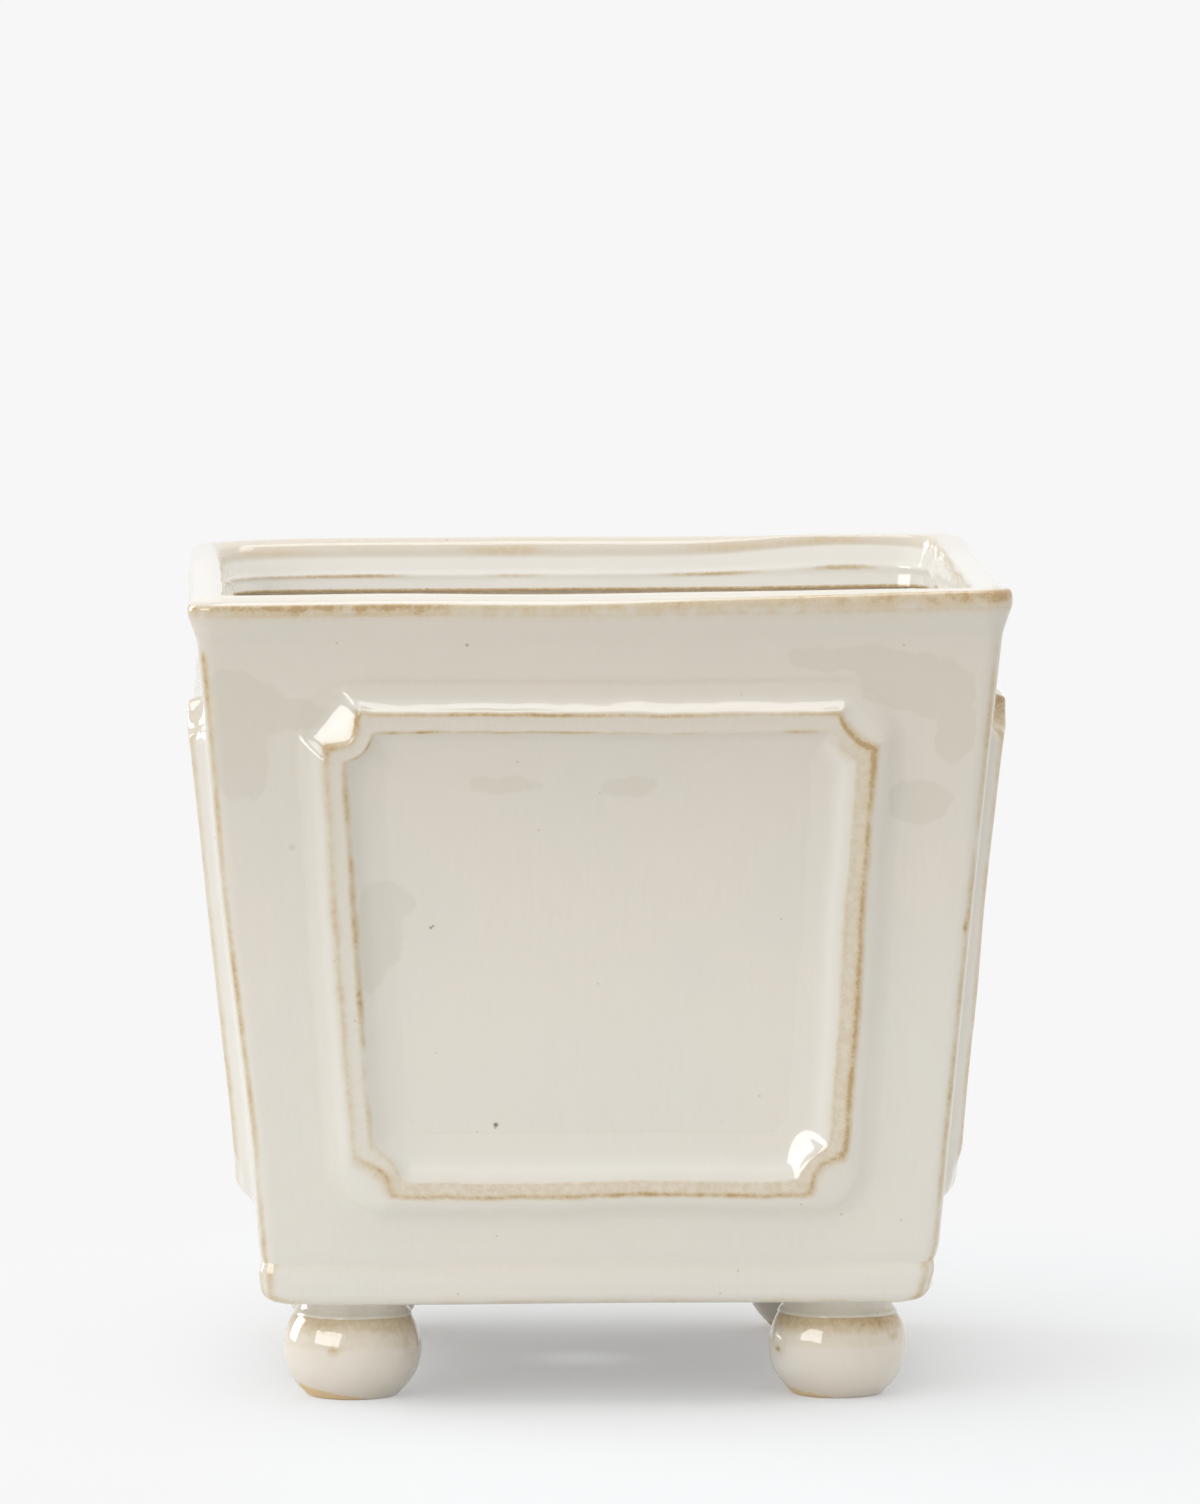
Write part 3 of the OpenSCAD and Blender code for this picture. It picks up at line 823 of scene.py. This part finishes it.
def frame_corner(corner, inward, soft):
    """One corner of each row: an arc struck from the corner of the frame, where soft is 0, or
    a plain round corner, where soft is 1. Both end on the straight sides of the row."""
    s = np.linspace(0, 1, SCOOP_STEPS + 1)[None, :]
    back, turn = math.radians(FRAME_BACK[corner]), math.radians(FRAME_TURN[corner])
    middle = FRAME_CORNERS[corner]
    across = np.array([math.cos(back - turn / 2), math.sin(back - turn / 2)]) / math.sin(turn / 2)
    d = inward[:, None]
    scoop_d = np.maximum(d, -SCOOP_FAR * NOTCH_R)
    scoop_r = NOTCH_R + scoop_d
    lift = np.arcsin(scoop_d / scoop_r)
    scoop_a = mix(back - lift, back - turn + lift, s)
    round_r = np.maximum(NOTCH_R - d, LEAST_R)
    round_a = mix(back + math.pi / 2, back + 1.5 * math.pi - turn, s)

    def arc(away, radius, angle):
        ray = np.stack([np.cos(angle), np.sin(angle)], -1)
        return middle + away[..., None] * across + radius[..., None] * ray

    scoop = arc(d - scoop_d, scoop_r, scoop_a)
    plain = arc(d + round_r, round_r, round_a)
    return mix(scoop, plain, soft[:, None, None])


# How far out each corner's scoop is felt before the cove turns plainly round, starting top
# right and going counterclockwise, and how often the neighbours along a row are blended
SCOOP_FELT = (4.6, 6.4, 3.4, 3.4)
CORNER_BLENDS = 14


def frame_rows(inward):
    """Plans of all rows of a frame: its four corners, joined by straight bars."""
    corners = [
        frame_corner(k, inward, np.clip((-0.3 - inward) / SCOOP_FELT[k], 0, 1)) for k in range(4)
    ]
    along = np.linspace(0, 1, BAR_STEPS + 2)[1:-1][None, :, None]
    parts = []
    for corner in range(4):
        start, end = corners[corner][:, -1:], corners[(corner + 1) % 4][:, :1]
        parts += [corners[corner], mix(start, end, along)]
    rows = np.concatenate(parts, 1)
    ease = 0.5 * mix(0.15, 1.0, step(FRAME_UP + FRAME_H - 10, FRAME_UP + 20, rows[..., 1:]))
    for _ in range(CORNER_BLENDS):
        rows = mix(rows, (np.roll(rows, 1, 1) + np.roll(rows, -1, 1)) / 2, ease)
    return rows


def front_flats(out, plans, d):
    """The front frame's heights, with the thumb's flat and the filled corner. A flat is a
    slanted plane, and the thumb's turns level past its end, over the height that is left."""
    left, up = THUMB_AT[0] - plans[..., 0], plans[..., 1] - THUMB_AT[1]
    slope = math.hypot(*THUMB_FALL)
    down = (THUMB_FALL[0] * left + THUMB_FALL[1] * up) / slope
    beside = (THUMB_FALL[0] * up - THUMB_FALL[1] * left) / slope
    end_height = THUMB_HEIGHT - slope * THUMB_LENGTH
    past = np.clip(down - THUMB_LENGTH, 0, 2 * end_height / slope)
    pressed = THUMB_HEIGHT - slope * (np.minimum(down, THUMB_LENGTH) + past)
    pressed = np.maximum(pressed + (slope * past) ** 2 / (4 * end_height), LEAST_HEIGHT)
    near = step(-12, -9, down) * step(8.5, 5.5, np.abs(beside)) * step(0.2, -0.5, d)
    out = mix(out, pressed, near * step(-13.2, -9, d))
    right, up = plans[..., 0] - FILLED_AT[0], plans[..., 1] - FILLED_AT[1]
    near = spot(plans, *FILLED_AT, FILLED_REACH) * step(4.5, 6.5, d)
    level = np.sum(out * near ** 2) / np.sum(near ** 2)
    filled = np.maximum(level + THUMB_FALL[0] * right - THUMB_FALL[1] * up, LEAST_HEIGHT)
    return mix(out, filled, 0.9 * near)


def make_panel_frame(side):
    """A moulded frame on its wall: the section's rows lie around the panel as plans of their
    own, with the ridges wavering, and close behind the wall's face."""
    # The rows' distances in from the outer ridge, closest where the section bends most
    d = np.concatenate([
        np.linspace(-14.9, -10, 6), np.linspace(-9.6, -6.4, 11), np.linspace(-6.1, -1.6, 14),
        np.linspace(-1.3, 2.2, 15), np.linspace(2.5, 4.2, 6), np.linspace(4.4, 7.0, 12),
        np.linspace(7.3, 14.7, 17),
    ])
    filled_d = np.where(d > RIDGE_GAP, RIDGE_GAP + (d - RIDGE_GAP) / FILLED_COVE, d)
    crisp, soft, filled = (
        np.interp(at_d, *blurred_line(section, FRAME_SOFTNESS, FRAME_PACE).T)[:, None]
        for section, at_d in ((CRISP_SECTION, d), (SOFT_SECTION, d), (SOFT_SECTION, filled_d))
    )
    plans = frame_rows(d)
    d = d[:, None]
    inward = plans[-1] - plans[0]
    inward = inward / np.linalg.norm(inward, axis=-1, keepdims=True)
    # How much each point belongs to the left, top, right and bottom bar
    toward = np.concatenate([inward * (1, -1), inward * (-1, 1)], 1).T
    share = np.maximum(toward, 0) ** 2

    def by_bar(values):
        return np.array(values) @ share

    # Each side has waves of its own, because they are drawn in planes far from each other
    at = np.concatenate([plans, np.full(plans.shape[:2] + (1,), SIDE_APART * side)], -1)
    free = step(-9.5, -4, d) * (1 - step(8.5, 12.5, d))
    waver = 0.3 * waves(at, 51, 30, 90) + 0.14 * waves(at, 52, 9, 24)
    spread = (by_bar(BAR_GAP) - RIDGE_GAP) * step(-1, RIDGE_GAP + 1, d)
    slide = (waver + by_bar(BAR_STRAY) + spread) * free
    plans = plans + inward[None] * slide[..., None]
    height = mix(crisp, soft, by_bar(BAR_ROUNDED))
    height = mix(height, filled, by_bar(BAR_FILLED))
    on_side = side % 2
    above = step(TOP_BAR, TOP_BAR + 5, plans[..., 1])
    height = height * (1 - COVE_LOST * on_side * above * step(-0.6, -2.6, d))
    height = height * (1 - SAG * (side == 3) * above * step(60, 48, plans[..., 0]))
    lumps = 0.16 * waves(at, 53, 20, 60) + 0.08 * waves(at, 54, 7, 18)
    lumps = lumps * free * mix(1, SIDE_SMOOTH, on_side) * step(0.3, 2.5, height)
    out = height * (1 + 0.04 * waves(at, 55, 30, 90)) + lumps
    for u, v, shift_u, shift_v, shift_out, reach in PUSHES[side]:
        near = spot(plans, u, v, reach) * free
        plans = plans + near[..., None] * np.array([shift_u, shift_v])
        out = out + near * shift_out * step(1.0, 4.0, height)
    if side == 0:
        out = front_flats(out, plans, d)
    front = np.concatenate([plans, out[..., None]], -1)
    back_rows = front[[-1, 0]]
    back_rows[..., 2] = -FRAME_SINK
    placed = frame_place(np.concatenate([front, back_rows]), side)

    run = waves(at, 56, 18, 80)
    fine_run = waves(at, 57, 5, 14)
    # The ridges' tan is glaze break, painted stronger by bar where an edge faces away from the
    # light, as painted shade
    outer = SIDE_BREAK[side] * by_bar(OUTER_BREAK_AND_SHADE) * (1 + 0.3 * run + 0.2 * fine_run)
    outer = np.clip(outer, 0, 1.1) * (1 - 0.5 * (side == 3) * above)
    inner = np.clip(by_bar(INNER_BREAK_AND_SHADE) * (1 + 0.75 * run + 0.45 * fine_run), 0, 1.1)
    # On the side frames it has broken in a wider line, further down towards the cove
    thin_and_shade = outer * bell(d, -1.1 * on_side, by_bar(OUTER_WIDTH) * mix(1, 1.3, on_side))
    flat = step(-0.6, 0.6, d) * (1 - step(4.6, 5.8, d))
    thin_and_shade += SIDE_BREAK[side] * by_bar(FLAT_BREAK) * flat
    thin_and_shade += inner * bell(d, RIDGE_GAP + 0.1, by_bar(INNER_WIDTH))
    for u, v, reach, strength in BROKEN_CORNERS:
        thin_and_shade += strength * spot(plans, u, v, reach) * bell(d, 0.2, 1.2) * (1 - on_side)
    for u, v, reach, strength in BROKEN_DASHES:
        near = bell(plans[..., 0], u, reach) * bell(plans[..., 1], v, 2.4)
        thin_and_shade += strength * near * bell(d, RIDGE_GAP + 0.1, 0.65) * (side == 0)
    # Painted shade: tan in the tooled groove
    thin_and_shade += 0.16 * by_bar(GROOVE_SHADE) * bell(d, -8.0, 1.6)
    pool_and_light = by_bar(OUTER_POOL) * bell(d, -2.4, 1.9) * step(-0.4, -1.2, d)
    pool_and_light += by_bar(INNER_POOL) * bell(d, 8.2, 2.4)
    pool_and_light += 0.9 * (side == 3) * bell(d, -6.5, 3.5)
    # The two rows behind the wall's face carry no marks
    thin_and_shade, pool_and_light = (np.pad(values, ((0, 2), (0, 0))) for values in (thin_and_shade, pool_and_light))
    patch = np.where(side == 0, front_patches(placed), NO_PATCH)
    make_piece(SIDES[side] + "_panel_frame", hoop, placed, thin_and_shade, pool_and_light, patch=patch)


# Seam coils

COIL_SINK = 0.5
COIL_LUMPS = 0.5


def coil_section(s):
    """Offsets from the seam along its two legs: a hollow face between the ends of the legs,
    and behind it a line along both legs, sunk a little into the slabs."""
    sag = COIL_SAG * 4 * s * (1 - s) / math.sqrt(2)
    face = np.stack([COIL_LEG * (1 - s) - sag, COIL_LEG * s - sag], -1)
    legs = np.stack([COIL_LEG * (1 - 2 * s), COIL_LEG * (2 * s - 1)], -1)
    return face, np.maximum(legs, -COIL_SINK)


def make_coil(node, corner, laid, pushed, seed, pool_and_light):
    """A tube of loops along a seam, laid there by a function of the section. Fingers have
    pushed its face in and out along two of the axes, least at the section's ends. The pool
    is the glaze's mean thickness and how far that strays."""
    s = np.linspace(0, 1, 15)
    face, legs = coil_section(s)
    front = laid(face)
    lumps = COIL_LUMPS * waves(turned(front, corner), seed, 9, 26) * np.sin(np.pi * s)
    front[..., pushed] += lumps[..., None]
    loops = turned(np.concatenate([front, laid(legs)[:, ::-1]], 1), corner)
    thin_and_shade = 0.12 + 0.12 * waves(loops, seed + 1, 8, 30)
    make_piece(node, tube, loops, thin_and_shade, pool_and_light[0] + pool_and_light[1] * waves(loops, seed + 2, 8, 30))


def make_coils(corner):
    """An upright coil in an inner corner and a level one along the floor."""
    z = np.linspace(FLOOR_Z - 0.4, WALL_TOP_Z + 0.3, 150)[:, None]
    seam = -(BASE_HALF + LEAN * (z - FLOOR_Z) - WALL_INSET)

    def upright(section):
        return np.stack(np.broadcast_arrays(seam + section[:, 0], seam + section[:, 1], z), -1)

    make_coil("corner_coil_" + CORNERS[corner], corner, upright, slice(0, 2), 61, (0.5, 0.3))

    reach = BASE_HALF - WALL_INSET
    x = np.linspace(-reach, reach, 130)[:, None]

    def level(section):
        rise = section[:, 1]
        y = -(reach + LEAN * rise) + section[:, 0]
        return np.stack(np.broadcast_arrays(x, y, FLOOR_Z + rise), -1)

    make_coil("floor_coil_" + SIDES[corner], corner, level, slice(1, 3), 64, (0.7, 0.0))


# Feet

FOOT_AROUND = 128
FOOT_ANGLE = np.linspace(0, 2 * np.pi, FOOT_AROUND, endpoint=False)
FOOT_RAY = np.stack([np.cos(FOOT_ANGLE), np.sin(FOOT_ANGLE)], -1)
# How far each foot stands off its place
FOOT_STRAY = (1.0, 0.0, 0.0, 0.0)
# How much rounder the feet are below than in the CAD model, and the round at their soles
LOWER_ROUND = 0.07
SOLE_ROUND_R = 1.2
SOLE_ROUND_H = 0.9
# How thin the glaze lies on each foot's shoulder
SHOULDER_THIN = (0.28, 0.55, 0.34, 0.3)
# How much lighter each foot's left side is painted, as painted light
PAINTED_LIGHT_LEFT = (0.3, 0.5, 0.0, 0.0)
# How high the bare clay reaches on each foot at its left
BARE_UP = (3.2, 2.2, 2.3, 2.3)
# Spots where the glaze has broken on a foot: across from its middle, up, reach, and strength
FOOT_SPOTS = (
    ((-4.8, 13.0, 1.5, 0.55), (15.5, 13.0, 4.5, 0.22)),
    ((-15.2, 12.2, 0.5, 1.0), (-15.0, 12.0, 1.7, 0.35), (13.9, 15.4, 1.0, 0.5)), (), (),
)
# Radii of the collar where it meets the base slab and of its closed core, and how far it
# reaches into its neighbours and laps over the ball
COLLAR_TOP_R = 13.6
COLLAR_CORE_R = 8.0
COLLAR_SINK = 0.3
COLLAR_LAP = 0.7


def round_loops(centre, radius, height):
    """Circles about an upright axis: one for each row of radius and height."""
    radius, height, _ = np.broadcast_arrays(radius, height, FOOT_ANGLE)
    return np.concatenate([centre + radius[..., None] * FOOT_RAY, height[..., None]], -1)


def ball_radius(z):
    """Radius of a foot at a height: its side is an arc about a circle inside it."""
    return FOOT_R - FOOT_SIDE_R + np.sqrt(FOOT_SIDE_R ** 2 - (z - FOOT_WIDE_Z) ** 2)


def make_foot(corner, centre):
    """A ball of clay pressed flat below: a circle's arc carried round, with a small round at
    the sole's edge."""
    stand_r = ball_radius(SOLE_ROUND_H) - SOLE_ROUND_R
    edge_turn = np.radians(np.linspace(0, 75, 7))
    rise = np.linspace(1.6, FOOT_H, 46)
    radius = np.concatenate([
        [stand_r * 0.5, stand_r * 0.85], stand_r + SOLE_ROUND_R * np.sin(edge_turn),
        ball_radius(rise), [ball_radius(FOOT_H) * 0.6],
    ])
    height = np.concatenate([
        [0.0, 0.0], SOLE_ROUND_H * (1 - np.cos(edge_turn)), rise, [FOOT_H],
    ])
    loops = round_loops(centre, radius[:, None], height[:, None])
    away = loops[..., :2] - centre
    x, z = away[..., 0], loops[..., 2]
    lumps = 0.014 * waves(loops, 71, 20, 60) + 0.0035 * waves(loops, 75, 6, 12)
    squash = 1 + lumps * step(0, 6, z) - LOWER_ROUND * np.clip(1 - z / 8, 0, 1) ** 2
    loops[..., :2] = centre + away * squash[..., None]
    # Bare clay shows in a crescent at the lower left, and underneath
    shore = BARE_UP[corner] - 0.185 * (x + 12) + 0.25 * waves(loops, 72, 12, 40)
    bare = np.maximum(step(0.9, -0.9, z - shore), z < 0.05)
    shoulder = np.clip(SHOULDER_THIN[corner] + 0.15 * waves(loops, 73, 12, 40), 0, 1)
    thin_and_shade = step(15.5, 19.5, z) * shoulder + 0.22 * step(12.2, 14, z)
    for across, up, reach, strength in FOOT_SPOTS[corner]:
        near = spot(np.stack([x, z], -1), across, up, reach)
        thin_and_shade += strength * near * (away[..., 1] < 0)
    # Thicker, whiter glaze about mid height, and the left side painted whiter as painted light
    pool_and_light = 0.25 * bell(z, 8, 4) + PAINTED_LIGHT_LEFT[corner] * step(-6, -13, x) * step(3, 7, z)
    make_piece("ball_foot_" + CORNERS[corner], tube, loops, thin_and_shade, pool_and_light, bare, slot="foot_glaze")


def make_collar(corner, centre):
    """A hollow band of slip over the foot: its lower edge laps over the ball by an amount that
    wanders round it, and from there it hollows a little and flares under the base slab."""
    lap = COLLAR_LAP + 0.35 * waves(round_loops(centre, 14.0, 21.0), 74, 20, 60)
    low_z = FOOT_H - np.clip(lap, 0.3, 2.6)
    top_z = BASE_Z + COLLAR_SINK
    on_ball = ball_radius(low_z) + 0.15
    s = np.linspace(0, 1, 22)[:, None]
    band = mix(on_ball, COLLAR_TOP_R, s) - 0.6 * np.sin(np.pi * s) + 0.2 * bell(s, 0.12, 0.1)
    loops = np.concatenate([
        round_loops(centre, COLLAR_CORE_R, FOOT_H - 1.0)[None],
        round_loops(centre, on_ball - 0.9, low_z)[None],
        round_loops(centre, band, mix(low_z, top_z, s)),
        round_loops(centre, COLLAR_CORE_R, top_z)[None],
    ])
    thin_and_shade = np.zeros(loops.shape[:2])
    thin_and_shade[1:4] = 0.3
    make_piece("foot_collar_" + CORNERS[corner], tube, loops, thin_and_shade, 0.0, patch=0.0)


make_base_slab()
make_rim_band()
for turn_number in range(4):
    make_wall(turn_number)
    make_panel_frame(turn_number)
    make_coils(turn_number)
    foot_place = np.array([-FOOT_HALF - FOOT_STRAY[turn_number], -FOOT_HALF, 0.0])
    foot_centre = turned(foot_place, turn_number)[:2]
    make_foot(turn_number, foot_centre)
    make_collar(turn_number, foot_centre)


# Floor, light and camera

PAPER_WHITE = linear("#F7F7F7")
SWEEP_COLOUR = linear("#ECEEF0")
ROOM_FLOOR_COLOUR = linear("#959595")
# Half width of the floor, and how far from the pot its paper gives way to the darker floor, in
# metres
FLOOR_REACH = 40.0
SWEEP_EDGE = (0.4, 1.2)
# How much of the pot's shadow shows at its left and right, between which places across, and
# between which distances it fades out
SHADOW_SHOWN = (0.1, 0.7)
SHADOW_ACROSS = (-0.12, -0.03)
SHADOW_FADE = (0.2, 0.34)


def seen_directly(tree):
    """1 for what the camera sees straight on, in a mirror image or through glass, else 0."""
    path = add(tree, "LightPath").node.outputs
    seen = path["Is Camera Ray"]
    for kind in ("Is Glossy Ray", "Is Transmission Ray"):
        seen = add(tree, "Math", (seen, path[kind]), operation="MAXIMUM")
    return seen


def make_floor():
    """A sheet of white paper on a darker floor. To the camera the paper has no edge: near the
    pot it takes part of its shadow, and further off it glows at the paper's own white."""
    mesh = bpy.data.meshes.new("paper_floor")
    corners = np.array([(-1, -1, 0), (1, -1, 0), (1, 1, 0), (-1, 1, 0)]) * FLOOR_REACH
    mesh.from_pydata(corners.tolist(), [], [(0, 1, 2, 3)])
    floor = put("paper_floor", mesh)
    material, tree, shader = new_material("Matt white paper")
    shader.inputs["Roughness"].default_value = 1.0
    shader.inputs["Specular IOR Level"].default_value = 0.0
    place = add(tree, "TexCoord", output="Object")
    away = add(tree, "VectorMath", (place,), "Value", operation="LENGTH")
    across = add(tree, "SeparateXYZ", (place,), "X")
    edge = add(tree, "MapRange", (away, *SWEEP_EDGE, 0.0, 1.0), **EASED)
    inputs = {FACTOR: edge, COLOUR_A: SWEEP_COLOUR, COLOUR_B: ROOM_FLOOR_COLOUR}
    colour = add(tree, "Mix", inputs, COLOUR_OUT, data_type="RGBA")
    tree.links.new(colour, shader.inputs["Base Color"])
    shown = add(tree, "MapRange", (across, *SHADOW_ACROSS, *SHADOW_SHOWN), **EASED)
    near = add(tree, "MapRange", (away, *SHADOW_FADE, 1.0, 0.0), **EASED)
    shown = add(tree, "Math", (shown, near), operation="MULTIPLY")
    hidden = add(tree, "Math", (1.0, shown), operation="SUBTRACT")
    hidden = add(tree, "Math", (hidden, seen_directly(tree)), operation="MULTIPLY")
    glow = add(tree, "Emission", {"Color": PAPER_WHITE, "Strength": 1.0})
    both = add(tree, "MixShader", (hidden, shader.outputs[0], glow))
    tree.links.new(both, tree.nodes["Material Output"].inputs["Surface"])
    mesh.materials.append(material)


# Brightness of the room: towards the camera, towards the backdrop, and overhead
ROOM_FRONT = 0.455
ROOM_BACK = 0.9
ROOM_TOP = 0.84
# Where these give way to each other, along the direction's Y and its Z
ROOM_TURN = (-0.55, 0.25)
ROOM_RISE = (0.15, 0.8)


def make_room():
    """A room with a white backdrop and ceiling, dimmer behind the camera, and the paper's
    white to the camera's own rays."""
    world = bpy.data.worlds.new("studio")
    bpy.context.scene.world = world
    world.use_nodes = True
    tree = world.node_tree
    tree.nodes.clear()
    way = add(tree, "TexCoord", output="Generated")
    axes = add(tree, "SeparateXYZ", (way,)).node.outputs
    level = add(tree, "MapRange", (axes["Y"], *ROOM_TURN, ROOM_FRONT, ROOM_BACK), **EASED)
    overhead = add(tree, "MapRange", (axes["Z"], *ROOM_RISE, 0.0, 1.0), **EASED)
    level = add(tree, "Mix", {FACTOR: overhead, NUMBER_A: level, NUMBER_B: ROOM_TOP})
    room = add(tree, "Background", {"Color": (1, 1, 1, 1), "Strength": level})
    white = add(tree, "Background", {"Color": PAPER_WHITE, "Strength": 1.0})
    both = add(tree, "MixShader", (seen_directly(tree), room, white))
    output = tree.nodes.new("ShaderNodeOutputWorld")
    tree.links.new(both, output.inputs["Surface"])


# Distance of the windows from the pot, and the height that they face, in metres
WINDOW_AWAY = 2.0
WINDOW_AIM_Z = 0.1
# How much nearer the glint's lamp hangs
GLINT_NEARER = 0.02
# The windows: direction from the pot, width, height, brightness and glint
WINDOWS = {
    "window_front": ((-0.66, -0.67, 0.34), 1.6, 0.85, 0.22, 0.5),
    "window_back": ((-0.81, 0.50, 0.34), 0.8, 1.4, 0.14, 0.5),
    "skylight": ((0.1, -0.1, 1.0), 1.3, 1.3, 0.28, 0.2),
}


def make_window(name, way, width, height, level, glint):
    """A window that faces the pot, as two lamps. Its level is the brightness that it gives a
    white card there; the glint adds to that in its mirror images in the glaze alone."""
    way = Vector(way).normalized()
    for part, strength, nearer in (("_light", level, 0.0), ("_glint", glint, GLINT_NEARER)):
        light = bpy.data.lights.new(name + part, "AREA")
        light.shape = "RECTANGLE"
        light.size = width
        light.size_y = height
        light.energy = strength * math.pi ** 2 * WINDOW_AWAY ** 2
        lamp = put(name + part, light)
        lamp.location = way * (WINDOW_AWAY - nearer) + Vector((0, 0, WINDOW_AIM_Z))
        aim(lamp, -way)
        lamp.visible_diffuse = part == "_light"


# The photograph's camera: 3 m from the pot's axis and a long lens, looking slightly down
CAMERA_AWAY = 3000
CAMERA_TURN = 1.6
CAMERA_DROP = 5.062
CAMERA_HEIGHT = 421.7
CAMERA_AIM_X = 2.47
LENS = 283.2
SENSOR = 36


def make_camera():
    """The camera looks along the level direction of its turn, dropped below it."""
    data = bpy.data.cameras.new("camera")
    data.lens = LENS
    data.sensor_width = SENSOR
    data.clip_start = 0.1
    data.clip_end = 100
    camera = put("camera", data)
    turn, drop = math.radians(CAMERA_TURN), math.radians(CAMERA_DROP)
    level = Vector((math.sin(turn), math.cos(turn), 0))
    camera.location = (Vector((CAMERA_AIM_X, 0, CAMERA_HEIGHT)) - level * CAMERA_AWAY) * MM
    aim(camera, level * math.cos(drop) - Vector((0, 0, math.sin(drop))))
    bpy.context.scene.camera = camera


make_floor()
make_room()
for window, values in WINDOWS.items():
    make_window(window, *values)
make_camera()
bpy.context.scene.view_settings.view_transform = "Standard"
